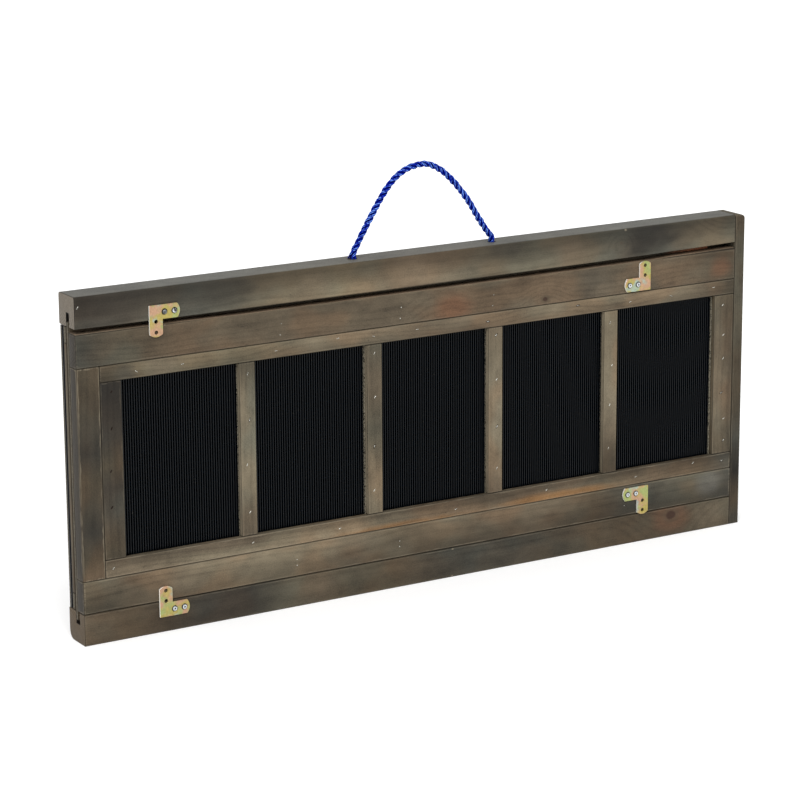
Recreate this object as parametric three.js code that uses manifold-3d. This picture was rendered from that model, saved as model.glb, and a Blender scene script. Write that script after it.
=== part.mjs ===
// A telescoping wooden ramp for a dog or another small animal, closed and standing on its long edge.
//
// An outer frame of two grooved rails, an end stile and a boarded floor carries a second, sliding
// tread panel. The panel's backing board runs in the grooves of both rails, so it pulls out towards
// -X until the corner plates on the panel meet the corner plates on the rails.
//
// Frame: millimetres, +Z up, X along the ramp, the tread side faces -Y. The origin is the middle of
// the footprint, on the surface that the bottom rail stands on.
import * as THREE from 'three';
import * as BufferGeometryUtils from 'three/addons/utils/BufferGeometryUtils.js';
import Module from 'manifold-3d';

// ---------------------------------------------------------------------------------------------
// Driving dimensions. "Depth" is measured backwards from the front face of the timber.
// ---------------------------------------------------------------------------------------------
const RAMP = { length: 914.4, height: 400, depth: 40 };
const GAP = 0.3; // between pieces that touch
const CUT_PAST = 1; // how far a cutting tool runs past the surface it cuts
const SKIM = 0.01; // the same, for a tapered tool
const MERGE_WITHIN = 1e-4; // corners closer than this are one corner
const FINE_STEPS = 6; // straight steps in a large rounded corner

const TOP_RAIL = { height: 37, frontEdge: 4, backEdge: 4, underEdge: 1.2 };
const BOTTOM_RAIL = { height: 36.5, frontEdge: 1.8, backRound: 12, upperEdge: 1 };
const TOP_GROOVE = { front: 14, back: 21.8, deep: 16.2 };
const BOTTOM_GROOVE = { front: 12.4, back: 21.8, deep: 14 };
const END_STILE = { thick: 15, topCorner: 9, bottomCorner: 1.5, sideEdge: 2 };

const PANEL = {
  length: 899.2,
  bottom: 37.2,
  top: 357.1,
  frameThick: 16.7,
  topRail: 37.6,
  bottomRail: 37.8,
  leftStile: 27.8,
  rightStile: 29,
  easedEdge: 1.5,
};
const TONGUE = { front: 17, back: 21.4, aboveFrame: 11.9, belowFrame: 10.6 };

const SLAT = { thick: 6, recess: 0.4, easedEdge: 0.8, cross: 20.3, left: 26, crossCount: 4 };
const PANEL_SLAT = { top: 18.5, bottom: 20.7, right: 29.3 };
const FLOOR_SLAT = { top: 19, bottom: 19, right: 26, front: 24.7 };
const MAT_THICK = 4.4;
const FLOOR_BOARD = { back: 39, inset: 0.5 };

const PLATE = {
  level: 38,
  upright: 36.4,
  width: 16.4,
  thick: 2,
  endBulge: 3, // from an end's own corners to the middle of its curve
  endTip: 1.4, // from there to the corner that the curve rounds off
  endRound: 6,
  endCornerRound: 1.2,
  cornerRound: 1,
  holeRadius: 2.3,
};
const PLATE_HOLES = { nearOffset: 18.7, farOffset: 31, fromEdge: 8.2 };
const PLATE_SCREW = {
  seat: 0.1,
  headRadius: 3.3,
  headHigh: 1.1,
  shoulder: { radius: 2.9, height: 0.7 },
  crown: 1.6,
  shankRadius: 1.8,
  shankLong: 11,
  point: 3,
  recess: { across: 3.6, wide: 0.8, deep: 0.6, turn: Math.PI / 5 },
};
const STILE_SCREW = {
  headRadius: 4.2,
  headHigh: 3,
  shankRadius: 2.1,
  shankLong: 38,
  holeSpare: 3, // how much deeper its hole is
  point: 5,
  sunk: 0.3,
  recess: { across: 4.6, wide: 0.9, deep: 1.2, turn: Math.PI / 7 },
};

const ROPE = { radius: 3.5, sides: 10, bendHeight: 7, halfSpan: 95.2 };
const ROPE_HOLE = { radius: 4.1, countersink: 5.2, countersinkDeep: 1.2 };
const KNOT = { radius: 7, high: 13, pocketRadius: 8.2, pocketTop: 387 };

// ---------------------------------------------------------------------------------------------
// Places worked out from the driving dimensions
// ---------------------------------------------------------------------------------------------
const headSeat = GAP + PLATE.thick + PLATE_SCREW.seat; // how far forward the screw heads sit
const plateProud = headSeat + PLATE_SCREW.headHigh;
const frontY = plateProud - (RAMP.depth + plateProud) / 2; // the timber's front face
const leftX = -RAMP.length / 2;
const rightX = RAMP.length / 2;
const railRightX = rightX - END_STILE.thick - GAP;
const topRailUnder = RAMP.height - TOP_RAIL.height;
const ropeY = frontY + RAMP.depth / 2;

const atDepth = (depth) => frontY + depth;
const fromLeft = (distance) => leftX + distance;

// ---------------------------------------------------------------------------------------------
// Materials
// ---------------------------------------------------------------------------------------------
const finishes = {
  railWood: { color: 0x5c564a, roughness: 0.72, metalness: 0 },
  panelWood: { color: 0x665c4d, roughness: 0.7, metalness: 0 },
  slatWood: { color: 0x6e6453, roughness: 0.7, metalness: 0 },
  plywood: { color: 0x7a6a55, roughness: 0.8, metalness: 0 },
  rubber: { color: 0x101214, roughness: 0.55, metalness: 0 },
  yellowZinc: { color: 0xc9b06a, roughness: 0.35, metalness: 0.9 },
  steel: { color: 0xb9bcc0, roughness: 0.3, metalness: 0.95 },
  blueRope: { color: 0x1433c8, roughness: 0.55, metalness: 0 },
};

const ramp = new THREE.Group();

function addPiece(name, geometry, finish) {
  const mesh = new THREE.Mesh(geometry, new THREE.MeshStandardMaterial(finishes[finish]));
  mesh.name = name;
  ramp.add(mesh);
  return mesh;
}

// ---------------------------------------------------------------------------------------------
// Solid cutting and joining
// ---------------------------------------------------------------------------------------------
const wasm = await Module();
wasm.setup();

function toSolid(geometry) {
  const bare = geometry.clone();
  bare.deleteAttribute('normal');
  bare.deleteAttribute('uv');
  const merged = BufferGeometryUtils.mergeVertices(bare, MERGE_WITHIN);
  const mesh = new wasm.Mesh({
    numProp: 3,
    vertProperties: new Float32Array(merged.attributes.position.array),
    triVerts: new Uint32Array(merged.index.array),
  });
  return new wasm.Manifold(mesh);
}

function toGeometry(solid) {
  const mesh = solid.getMesh();
  const geometry = new THREE.BufferGeometry();
  geometry.setAttribute('position', new THREE.BufferAttribute(mesh.vertProperties, 3));
  geometry.setIndex(new THREE.BufferAttribute(mesh.triVerts, 1));
  return geometry;
}

function cut(geometry, tools) {
  let solid = toSolid(geometry);
  for (const tool of tools) solid = solid.subtract(toSolid(tool));
  return toGeometry(solid);
}

function overlap(a, b) {
  return toGeometry(toSolid(a).intersect(toSolid(b)));
}

// ---------------------------------------------------------------------------------------------
// Basic shapes
// ---------------------------------------------------------------------------------------------

// A closed outline through corners [x, y, radius]; each corner is rounded to its radius.
function roundedOutline(corners) {
  const shape = new THREE.Shape();
  corners.forEach(([x, y, radius = 0], i) => {
    const corner = new THREE.Vector2(x, y);
    const previous = corners[(i + corners.length - 1) % corners.length];
    const next = corners[(i + 1) % corners.length];
    const towards = (other) =>
      new THREE.Vector2(other[0], other[1]).sub(corner).setLength(radius).add(corner);
    const start = radius ? towards(previous) : corner;
    if (i === 0) shape.moveTo(start.x, start.y);
    else shape.lineTo(start.x, start.y);
    if (radius) {
      const end = towards(next);
      shape.quadraticCurveTo(corner.x, corner.y, end.x, end.y);
    }
  });
  shape.closePath();
  return shape;
}

function extrude(shape, length, curveSegments = 4) {
  return new THREE.ExtrudeGeometry(shape, { depth: length, bevelEnabled: false, curveSegments });
}

// The outline's own axes are depth and height; it is drawn out along X from x0 to x1.
function alongX(shape, x0, x1, curveSegments) {
  const geometry = extrude(shape, x1 - x0, curveSegments);
  geometry.rotateX(Math.PI / 2);
  geometry.rotateZ(Math.PI / 2);
  geometry.translate(x0, frontY, 0);
  return geometry;
}

// The outline's own axes are X and height; it is drawn out backwards between two depths.
function alongDepth(shape, depth0, depth1, curveSegments) {
  const geometry = extrude(shape, depth1 - depth0, curveSegments);
  geometry.rotateX(Math.PI / 2);
  geometry.translate(0, atDepth(depth1), 0);
  return geometry;
}

// The outline's own axes are X and depth; it is drawn out upwards between two heights.
function alongZ(shape, z0, z1, curveSegments) {
  const geometry = extrude(shape, z1 - z0, curveSegments);
  geometry.translate(0, frontY, z0);
  return geometry;
}

// A board lying along X with its two long front edges eased.
function boardAlongX({ x0, x1, depth0, depth1, z0, z1, eased }) {
  const outline = roundedOutline([
    [depth0, z0, eased],
    [depth1, z0],
    [depth1, z1],
    [depth0, z1, eased],
  ]);
  return alongX(outline, x0, x1);
}

// A board standing along Z with its two long front edges eased.
function boardAlongZ({ x0, x1, depth0, depth1, z0, z1, eased }) {
  const outline = roundedOutline([
    [x0, depth0, eased],
    [x1, depth0, eased],
    [x1, depth1],
    [x0, depth1],
  ]);
  return alongZ(outline, z0, z1);
}

// A flat sheet with square edges.
function sheet({ x0, x1, depth0, depth1, z0, z1 }) {
  const geometry = new THREE.BoxGeometry(x1 - x0, depth1 - depth0, z1 - z0);
  geometry.translate((x0 + x1) / 2, atDepth((depth0 + depth1) / 2), (z0 + z1) / 2);
  return geometry;
}

function rodAlongY(radius, x, z, depth0, depth1, sides = 16) {
  const geometry = new THREE.CylinderGeometry(radius, radius, depth1 - depth0, sides);
  geometry.translate(x, atDepth((depth0 + depth1) / 2), z);
  return geometry;
}

function rodAlongX(radius, x0, x1, depth, z, sides = 16) {
  const geometry = new THREE.CylinderGeometry(radius, radius, x1 - x0, sides);
  geometry.rotateZ(Math.PI / 2);
  geometry.translate((x0 + x1) / 2, atDepth(depth), z);
  return geometry;
}

function coneAlongZ(bottomRadius, topRadius, x, z0, z1, sides = 20) {
  const geometry = new THREE.CylinderGeometry(topRadius, bottomRadius, z1 - z0, sides);
  geometry.rotateX(Math.PI / 2);
  geometry.translate(x, ropeY, (z0 + z1) / 2);
  return geometry;
}

// ---------------------------------------------------------------------------------------------
// Corner plates: flat L shapes with four holes, two of them screwed down and two left empty
// ---------------------------------------------------------------------------------------------

// Each plate: its outer corner, from the ramp's left end and from the ground, and which way its
// level leg points (toX) and its upright leg (toZ).
const plates = [
  { name: 'rail_plate_top', carrier: 'top_rail', left: 89.4, z: 380.4, toX: 1, toZ: -1 },
  { name: 'rail_plate_bottom', carrier: 'bottom_rail', left: 92.7, z: 18.4, toX: 1, toZ: 1 },
  { name: 'panel_plate_top', carrier: 'panel_top_rail', left: 769.4, z: 321, toX: -1, toZ: 1 },
  { name: 'panel_plate_bottom', carrier: 'panel_bottom_rail', left: 770.4, z: 72.3, toX: -1, toZ: -1 },
];

function platePoint(plate, along, up) {
  return [fromLeft(plate.left) + plate.toX * along, plate.z + plate.toZ * up];
}

function screwPlaces(plate) {
  const { nearOffset, farOffset, fromEdge } = PLATE_HOLES;
  return [nearOffset, farOffset].map((offset) => platePoint(plate, offset, fromEdge));
}

function emptyHolePlaces(plate) {
  const { nearOffset, farOffset, fromEdge } = PLATE_HOLES;
  return [nearOffset, farOffset].map((offset) => platePoint(plate, fromEdge, offset));
}

function makePlate(plate) {
  const { level, upright, width, thick, cornerRound, holeRadius } = PLATE;
  const { endBulge, endTip, endRound, endCornerRound } = PLATE;
  const corners = [
    [0, 0, cornerRound],
    [level - endBulge, 0, endCornerRound],
    [level + endTip, width / 2, endRound],
    [level - endBulge, width, endCornerRound],
    [width, width],
    [width, upright - endBulge, endCornerRound],
    [width / 2, upright + endTip, endRound],
    [0, upright - endBulge, endCornerRound],
  ].map(([along, up, radius]) => [...platePoint(plate, along, up), radius]);
  const blank = alongDepth(roundedOutline(corners), -GAP - thick, -GAP);
  const holes = [...screwPlaces(plate), ...emptyHolePlaces(plate)].map(([x, z]) =>
    rodAlongY(holeRadius, x, z, -GAP - thick - CUT_PAST, CUT_PAST),
  );
  addPiece(plate.name, cut(blank, holes), 'yellowZinc');
}

// Two bars across each other, centred at a height on the screw's own axis, Y.
function crossRecess({ across, wide, deep, turn }, height) {
  return [0, Math.PI / 2].map((angle) => {
    const arm = new THREE.BoxGeometry(across, 2 * deep, wide);
    arm.rotateY(angle + turn);
    arm.translate(0, height, 0);
    return arm;
  });
}

// A pan head on a plain shank with a short point, turned about Y, with a cross recess in the head.
function makePlateScrew(name, x, z) {
  const { headRadius, headHigh, shoulder, crown, shankRadius, shankLong, point } = PLATE_SCREW;
  const profile = [
    [0, -shankLong],
    [shankRadius, -shankLong + point],
    [shankRadius, 0],
    [headRadius, 0],
    [shoulder.radius, shoulder.height],
    [crown, headHigh],
    [0, headHigh],
  ].map(([radius, height]) => new THREE.Vector2(radius, height));
  const blank = new THREE.LatheGeometry(profile, 20);
  const geometry = cut(blank, crossRecess(PLATE_SCREW.recess, headHigh));
  geometry.rotateX(Math.PI);
  geometry.translate(x, atDepth(-headSeat), z);
  addPiece(name, geometry, 'steel');
}

function makePlateScrews(plate) {
  screwPlaces(plate).forEach(([x, z], i) => makePlateScrew(`${plate.name}_screw_${i + 1}`, x, z));
}

// Pilot holes under a plate's screws, for the timber that carries it.
function pilotHoles(carrier) {
  return plates
    .filter((plate) => plate.carrier === carrier)
    .flatMap(screwPlaces)
    .map(([x, z]) => rodAlongY(PLATE_SCREW.shankRadius + GAP, x, z, -CUT_PAST, PLATE_SCREW.shankLong, 12));
}

// ---------------------------------------------------------------------------------------------
// Outer frame
// ---------------------------------------------------------------------------------------------

// Two screws through the end stile into the end of each rail: [name, depth, height].
const stileScrews = [
  ['stile_screw_top_front', 9, RAMP.height - 9],
  ['stile_screw_top_back', 31, RAMP.height - 12],
  ['stile_screw_bottom_front', 9, 10],
  ['stile_screw_bottom_back', 29, 13],
];

function stileScrewHoles(inUpperHalf) {
  const { shankRadius, shankLong, holeSpare } = STILE_SCREW;
  const holeEnd = rightX - shankLong - holeSpare;
  return stileScrews
    .filter(([, , z]) => z > RAMP.height / 2 === inUpperHalf)
    .map(([, depth, z]) => rodAlongX(shankRadius + GAP, holeEnd, rightX + CUT_PAST, depth, z));
}

function makeTopRail() {
  const { frontEdge, backEdge, underEdge } = TOP_RAIL;
  const { front, back, deep } = TOP_GROOVE;
  const grooveTop = topRailUnder + deep;
  const outline = roundedOutline([
    [0, topRailUnder, underEdge],
    [front, topRailUnder],
    [front, grooveTop],
    [back, grooveTop],
    [back, topRailUnder],
    [RAMP.depth, topRailUnder, underEdge],
    [RAMP.depth, RAMP.height, backEdge],
    [0, RAMP.height, frontEdge],
  ]);
  const ropeHoles = [-ROPE.halfSpan, ROPE.halfSpan].flatMap((x) => [
    coneAlongZ(ROPE_HOLE.radius, ROPE_HOLE.radius, x, grooveTop - CUT_PAST, RAMP.height + CUT_PAST),
    coneAlongZ(
      ROPE_HOLE.radius,
      ROPE_HOLE.countersink,
      x,
      RAMP.height - ROPE_HOLE.countersinkDeep,
      RAMP.height + SKIM,
    ),
    coneAlongZ(KNOT.pocketRadius, KNOT.pocketRadius, x, topRailUnder - CUT_PAST, KNOT.pocketTop),
  ]);
  const tools = [...ropeHoles, ...pilotHoles('top_rail'), ...stileScrewHoles(true)];
  addPiece('top_rail', cut(alongX(outline, leftX, railRightX), tools), 'railWood');
}

function makeBottomRail() {
  const { height, frontEdge, backRound, upperEdge } = BOTTOM_RAIL;
  const { front, back, deep } = BOTTOM_GROOVE;
  const outline = roundedOutline([
    [0, 0, frontEdge],
    [RAMP.depth, 0, backRound],
    [RAMP.depth, height, upperEdge],
    [back, height],
    [back, height - deep],
    [front, height - deep],
    [front, height],
    [0, height, upperEdge],
  ]);
  const tools = [...pilotHoles('bottom_rail'), ...stileScrewHoles(false)];
  addPiece('bottom_rail', cut(alongX(outline, leftX, railRightX, FINE_STEPS), tools), 'railWood');
}

function makeEndStile() {
  const section = roundedOutline([
    [0, 0, BOTTOM_RAIL.frontEdge],
    [RAMP.depth, 0, BOTTOM_RAIL.backRound],
    [RAMP.depth, RAMP.height, TOP_RAIL.backEdge],
    [0, RAMP.height, TOP_RAIL.frontEdge],
  ]);
  const { thick, topCorner, bottomCorner, sideEdge } = END_STILE;
  const x0 = rightX - thick;
  const face = roundedOutline([
    [x0, 0],
    [rightX, 0, bottomCorner],
    [rightX, RAMP.height, topCorner],
    [x0, RAMP.height],
  ]);
  const plan = roundedOutline([
    [x0, 0],
    [rightX, 0, sideEdge],
    [rightX, RAMP.depth, sideEdge],
    [x0, RAMP.depth],
  ]);
  const seenFromFront = alongDepth(face, -CUT_PAST, RAMP.depth + CUT_PAST, FINE_STEPS);
  const seenFromAbove = alongZ(plan, -CUT_PAST, RAMP.height + CUT_PAST);
  const blank = overlap(overlap(alongX(section, x0, rightX, FINE_STEPS), seenFromFront), seenFromAbove);
  const { headRadius, headHigh, shankRadius, sunk } = STILE_SCREW;
  const sinkDeep = sunk + headHigh + 2 * GAP;
  const heads = stileScrews.map(([, depth, z]) => {
    const sink = new THREE.CylinderGeometry(headRadius + 2 * GAP, shankRadius + GAP, sinkDeep, 16);
    sink.rotateZ(-Math.PI / 2);
    sink.translate(rightX - sinkDeep / 2 + SKIM, atDepth(depth), z);
    return sink;
  });
  const tools = [...stileScrewHoles(true), ...stileScrewHoles(false), ...heads];
  addPiece('end_stile', cut(blank, tools), 'railWood');
}

// A flat countersunk head, sunk just under the stile's outer face.
function makeStileScrew([name, depth, z]) {
  const { headRadius, headHigh, shankRadius, shankLong, point, sunk } = STILE_SCREW;
  const profile = [
    [0, -shankLong],
    [shankRadius, -shankLong + point],
    [shankRadius, -headHigh - sunk],
    [headRadius, -sunk],
    [0, -sunk],
  ].map(([radius, height]) => new THREE.Vector2(radius, height));
  const blank = new THREE.LatheGeometry(profile, 16);
  const geometry = cut(blank, crossRecess(STILE_SCREW.recess, -sunk));
  geometry.rotateZ(-Math.PI / 2);
  geometry.translate(rightX, atDepth(depth), z);
  addPiece(name, geometry, 'steel');
}

// ---------------------------------------------------------------------------------------------
// Slatted floors: top, bottom, left and right slats round four cross slats, nailed over a mat
// ---------------------------------------------------------------------------------------------
function makeSlats(prefix, area, sizes) {
  const { x0, x1, z0, z1, depth0 } = area;
  const layer = { depth0, depth1: depth0 + SLAT.thick, eased: SLAT.easedEdge };
  const innerZ0 = z0 + sizes.bottom + GAP;
  const innerZ1 = z1 - sizes.top - GAP;
  const upright = (name, left, width) =>
    addPiece(
      `${prefix}_${name}`,
      boardAlongZ({ x0: left, x1: left + width, z0: innerZ0, z1: innerZ1, ...layer }),
      'slatWood',
    );
  addPiece(
    `${prefix}_top_slat`,
    boardAlongX({ x0, x1, z0: z1 - sizes.top, z1, ...layer }),
    'slatWood',
  );
  addPiece(
    `${prefix}_bottom_slat`,
    boardAlongX({ x0, x1, z0, z1: z0 + sizes.bottom, ...layer }),
    'slatWood',
  );
  upright('left_slat', x0, SLAT.left);
  upright('right_slat', x1 - sizes.right, sizes.right);
  const open = x1 - x0 - SLAT.left - sizes.right - SLAT.crossCount * SLAT.cross;
  const field = open / (SLAT.crossCount + 1);
  for (let i = 0; i < SLAT.crossCount; i += 1) {
    const left = x0 + SLAT.left + field + i * (field + SLAT.cross);
    upright(`cross_slat_${i + 1}`, left, SLAT.cross);
  }
}

function makeFloor() {
  const x0 = fromLeft(FLOOR_BOARD.inset);
  const x1 = railRightX;
  const z0 = BOTTOM_RAIL.height + GAP;
  const z1 = topRailUnder - GAP;
  const matFront = FLOOR_SLAT.front + SLAT.thick + GAP;
  const matBack = matFront + MAT_THICK;
  addPiece(
    'floor_board',
    sheet({ x0, x1, z0, z1, depth0: matBack + GAP, depth1: FLOOR_BOARD.back }),
    'plywood',
  );
  addPiece('floor_mat', sheet({ x0, x1, z0, z1, depth0: matFront, depth1: matBack }), 'rubber');
  makeSlats('floor', { x0, x1, z0, z1, depth0: FLOOR_SLAT.front }, FLOOR_SLAT);
}

// ---------------------------------------------------------------------------------------------
// Sliding panel
// ---------------------------------------------------------------------------------------------
const panelRightX = fromLeft(PANEL.length);
const panelInnerZ0 = PANEL.bottom + PANEL.bottomRail;
const panelInnerZ1 = PANEL.top - PANEL.topRail;
const panelSlatBack = SLAT.recess + SLAT.thick;
const matSeat = panelSlatBack + GAP + MAT_THICK + GAP; // the front of what the mat lies on

function makePanelFrame() {
  const front = { depth0: 0, depth1: PANEL.frameThick, eased: PANEL.easedEdge };
  const topRail = boardAlongX({
    x0: leftX,
    x1: panelRightX,
    z0: panelInnerZ1,
    z1: PANEL.top,
    ...front,
  });
  const bottomRail = boardAlongX({
    x0: leftX,
    x1: panelRightX,
    z0: PANEL.bottom,
    z1: panelInnerZ0,
    ...front,
  });
  addPiece('panel_top_rail', cut(topRail, pilotHoles('panel_top_rail')), 'panelWood');
  addPiece('panel_bottom_rail', cut(bottomRail, pilotHoles('panel_bottom_rail')), 'panelWood');
  const between = { z0: panelInnerZ0 + GAP, z1: panelInnerZ1 - GAP };
  addPiece(
    'panel_left_stile',
    boardAlongZ({ x0: leftX, x1: fromLeft(PANEL.leftStile), ...between, ...front }),
    'panelWood',
  );
  // The right stile lies under the mat and the right slat.
  addPiece(
    'panel_right_stile',
    sheet({
      x0: panelRightX - PANEL.rightStile,
      x1: panelRightX,
      ...between,
      depth0: matSeat,
      depth1: TONGUE.back,
    }),
    'panelWood',
  );
}

function makePanelFloor() {
  const x0 = fromLeft(PANEL.leftStile) + GAP;
  const z0 = panelInnerZ0 + GAP;
  const z1 = panelInnerZ1 - GAP;
  const boardX1 = panelRightX - PANEL.rightStile - GAP;
  makeSlats(
    'panel',
    { x0, x1: panelRightX, z0, z1, depth0: SLAT.recess },
    PANEL_SLAT,
  );
  addPiece(
    'panel_mat',
    sheet({ x0, x1: panelRightX, z0, z1, depth0: panelSlatBack + GAP, depth1: matSeat - GAP }),
    'rubber',
  );
  addPiece(
    'panel_deck_board',
    sheet({ x0, x1: boardX1, z0, z1, depth0: matSeat, depth1: TONGUE.front - GAP }),
    'plywood',
  );
  addPiece(
    'panel_tongue_board',
    sheet({
      x0: leftX,
      x1: boardX1,
      z0: PANEL.bottom - TONGUE.belowFrame,
      z1: PANEL.top + TONGUE.aboveFrame,
      depth0: TONGUE.front,
      depth1: TONGUE.back,
    }),
    'plywood',
  );
}

// ---------------------------------------------------------------------------------------------
// Rope handle: it stands in an arch between two holes in the top rail, where each end is knotted.
// Its lowest stretch stays with the rail; above bendHeight it leans over as one loop.
// ---------------------------------------------------------------------------------------------

// The arch's centreline, [x, height above the rail], rising straight from the left hole.
const archRoute = [
  [-94.2, 7],
  [-91.6, 12],
  [-87.4, 19],
  [-82.2, 27.5],
  [-75.2, 39],
  [-67.7, 51],
  [-59.7, 63.5],
  [-50.6, 75.5],
  [-40.8, 86],
  [-29.2, 94.5],
  [-16.8, 99.6],
  [-5, 101.4],
  [5.8, 101],
  [16.8, 97],
  [27.8, 90],
  [39.4, 79.5],
  [50.7, 67.2],
  [60.8, 54.5],
  [70.2, 40.6],
  [78.4, 27.8],
  [84.4, 19],
  [89.8, 12],
  [93.8, 7],
];

function makeRopeArch() {
  const { radius, sides } = ROPE;
  const points = archRoute.map(([x, height]) => new THREE.Vector3(x, ropeY, RAMP.height + height));
  const route = new THREE.CatmullRomCurve3(points, false, 'centripetal');
  const section = new THREE.Shape();
  for (let i = 0; i < sides; i += 1) {
    const angle = (i / sides) * 2 * Math.PI;
    const corner = [radius * Math.cos(angle), radius * Math.sin(angle)];
    if (i === 0) section.moveTo(...corner);
    else section.lineTo(...corner);
  }
  section.closePath();
  const arch = new THREE.ExtrudeGeometry(section, { steps: 40, extrudePath: route });
  addPiece('rope_handle', arch, 'blueRope');
}

// A rope end in its hole, with its stop knot in the pocket under the hole.
function makeRopeEnd(name, x) {
  const top = RAMP.height + ROPE.bendHeight - ROPE.radius - GAP;
  const knotTop = KNOT.pocketTop - GAP;
  const knotMiddle = knotTop - KNOT.high / 2;
  const profile = [new THREE.Vector2(0, top), new THREE.Vector2(ROPE.radius, top)];
  const steps = 8;
  const firstAngle = Math.asin(ROPE.radius / KNOT.radius);
  for (let i = 0; i <= steps; i += 1) {
    const angle = firstAngle + (i / steps) * (Math.PI - firstAngle);
    const radius = i === steps ? 0 : KNOT.radius * Math.sin(angle);
    profile.push(new THREE.Vector2(radius, knotMiddle + (KNOT.high / 2) * Math.cos(angle)));
  }
  const geometry = new THREE.LatheGeometry(profile.reverse(), 14);
  geometry.rotateX(Math.PI / 2);
  geometry.translate(x, ropeY, 0);
  addPiece(name, geometry, 'blueRope');
}

// ---------------------------------------------------------------------------------------------
// Assembly
// ---------------------------------------------------------------------------------------------
makeTopRail();
makeBottomRail();
makeEndStile();
stileScrews.forEach(makeStileScrew);
makeFloor();
makePanelFrame();
makePanelFloor();
plates.forEach(makePlate);
plates.forEach(makePlateScrews);
makeRopeArch();
makeRopeEnd('rope_end_left', -ROPE.halfSpan);
makeRopeEnd('rope_end_right', ROPE.halfSpan);

export default ramp;
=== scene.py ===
"""The looks of a telescoping wooden ramp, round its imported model. Metres, +Z up, tread towards -Y."""

import math
import random

import bmesh
import bpy
from mathutils import Matrix, Quaternion, Vector, noise


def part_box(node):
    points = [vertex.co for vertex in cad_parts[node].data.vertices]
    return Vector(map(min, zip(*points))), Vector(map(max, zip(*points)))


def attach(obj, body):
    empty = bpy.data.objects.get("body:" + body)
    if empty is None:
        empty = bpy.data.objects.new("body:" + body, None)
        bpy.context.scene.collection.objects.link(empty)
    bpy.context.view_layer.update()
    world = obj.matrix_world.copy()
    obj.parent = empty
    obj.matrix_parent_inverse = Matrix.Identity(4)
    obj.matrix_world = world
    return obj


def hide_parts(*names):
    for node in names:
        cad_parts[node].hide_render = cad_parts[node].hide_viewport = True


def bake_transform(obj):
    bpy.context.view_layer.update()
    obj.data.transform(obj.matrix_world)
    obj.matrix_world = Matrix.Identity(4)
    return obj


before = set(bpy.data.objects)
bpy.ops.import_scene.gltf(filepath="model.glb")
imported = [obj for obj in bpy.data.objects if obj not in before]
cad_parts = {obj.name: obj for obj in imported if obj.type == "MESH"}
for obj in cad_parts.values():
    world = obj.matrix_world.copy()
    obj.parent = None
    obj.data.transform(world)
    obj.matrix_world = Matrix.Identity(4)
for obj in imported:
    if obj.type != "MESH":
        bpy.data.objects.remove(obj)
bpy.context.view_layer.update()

MM = 0.001
RAMP_LOW, RAMP_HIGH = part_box("top_rail")[0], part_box("end_stile")[1]
LEFT = RAMP_LOW.x
TIMBER_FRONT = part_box("top_rail")[0].y
RAIL_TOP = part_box("top_rail")[1].z
ROPE_Y = (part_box("rope_end_left")[0].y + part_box("rope_end_left")[1].y) / 2


# ---- Camera ----
CAMERA = {"azimuth": -30.94, "elevation": 14.25, "roll": -0.34, "lens": 131.08, "distance": 3.4103}
AIM = Vector((-0.0447, TIMBER_FRONT, 0.2293))


def make_camera():
    azimuth, elevation = math.radians(CAMERA["azimuth"]), math.radians(CAMERA["elevation"])
    level_back = Vector((math.sin(azimuth), -math.cos(azimuth), 0))
    back = level_back * math.cos(elevation) + Vector((0, 0, math.sin(elevation)))
    data = bpy.data.cameras.new("camera")
    data.sensor_width = 36
    data.lens = CAMERA["lens"]
    camera = bpy.data.objects.new("camera", data)
    camera.location = AIM + back * CAMERA["distance"]
    level = (-back).to_track_quat("-Z", "Y")
    camera.rotation_mode = "QUATERNION"
    camera.rotation_quaternion = level @ Quaternion((0, 0, 1), math.radians(CAMERA["roll"]))
    bpy.context.collection.objects.link(camera)
    bpy.context.scene.camera = camera


# ---- Mesh helpers ----
def new_piece(name, mesh):
    piece = bpy.data.objects.new(name, mesh)
    bpy.context.collection.objects.link(piece)
    return piece


def mesh_from(name, points, faces):
    mesh = bpy.data.meshes.new(name)
    mesh.from_pydata([tuple(p) for p in points], [], faces)
    mesh.validate()
    return mesh


def mesh_of(shape, name):
    """The mesh of a bmesh, which is freed."""
    mesh = bpy.data.meshes.new(name)
    shape.to_mesh(mesh)
    shape.free()
    return mesh


def smooth(mesh, sharp_above=40):
    mesh.shade_smooth()
    mesh.set_sharp_from_angle(angle=math.radians(sharp_above))


def with_modifiers(piece):
    """Replaces the piece's mesh by what its modifiers make of it."""
    evaluated = piece.evaluated_get(bpy.context.evaluated_depsgraph_get())
    piece.data = bpy.data.meshes.new_from_object(evaluated)
    piece.modifiers.clear()


def eased_copy(node, name, width, segments, above):
    """A copy of a CAD piece, its edges sharper than above degrees rounded to a width in mm."""
    shape = bmesh.new()
    shape.from_mesh(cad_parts[node].data)
    bmesh.ops.remove_doubles(shape, verts=shape.verts, dist=0.01 * MM)
    bmesh.ops.dissolve_limit(shape, angle_limit=math.radians(1), verts=shape.verts, edges=shape.edges)
    piece = new_piece(name, mesh_of(shape, name))
    bevel = piece.modifiers.new("bevel", "BEVEL")
    bevel.width = width * MM
    bevel.segments = segments
    bevel.limit_method = "ANGLE"
    bevel.angle_limit = math.radians(above)
    with_modifiers(piece)
    return piece


def dress(piece, body, slot, material, *nodes):
    """Gives a piece its material and body, and the nodes that it stands for. Its slot is not used."""
    piece.data.materials.clear()
    piece.data.materials.append(material)
    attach(piece, body)
    if nodes:
        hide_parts(*nodes)
    return piece


# ---- Node trees ----
def linear(colour):
    """A colour named by its 0-255 display values, as the shader's linear RGBA."""
    channels = [((c / 255 + 0.055) / 1.055) ** 2.4 if c > 10 else c / 255 / 12.92 for c in colour]
    return (*channels, 1.0)


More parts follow.
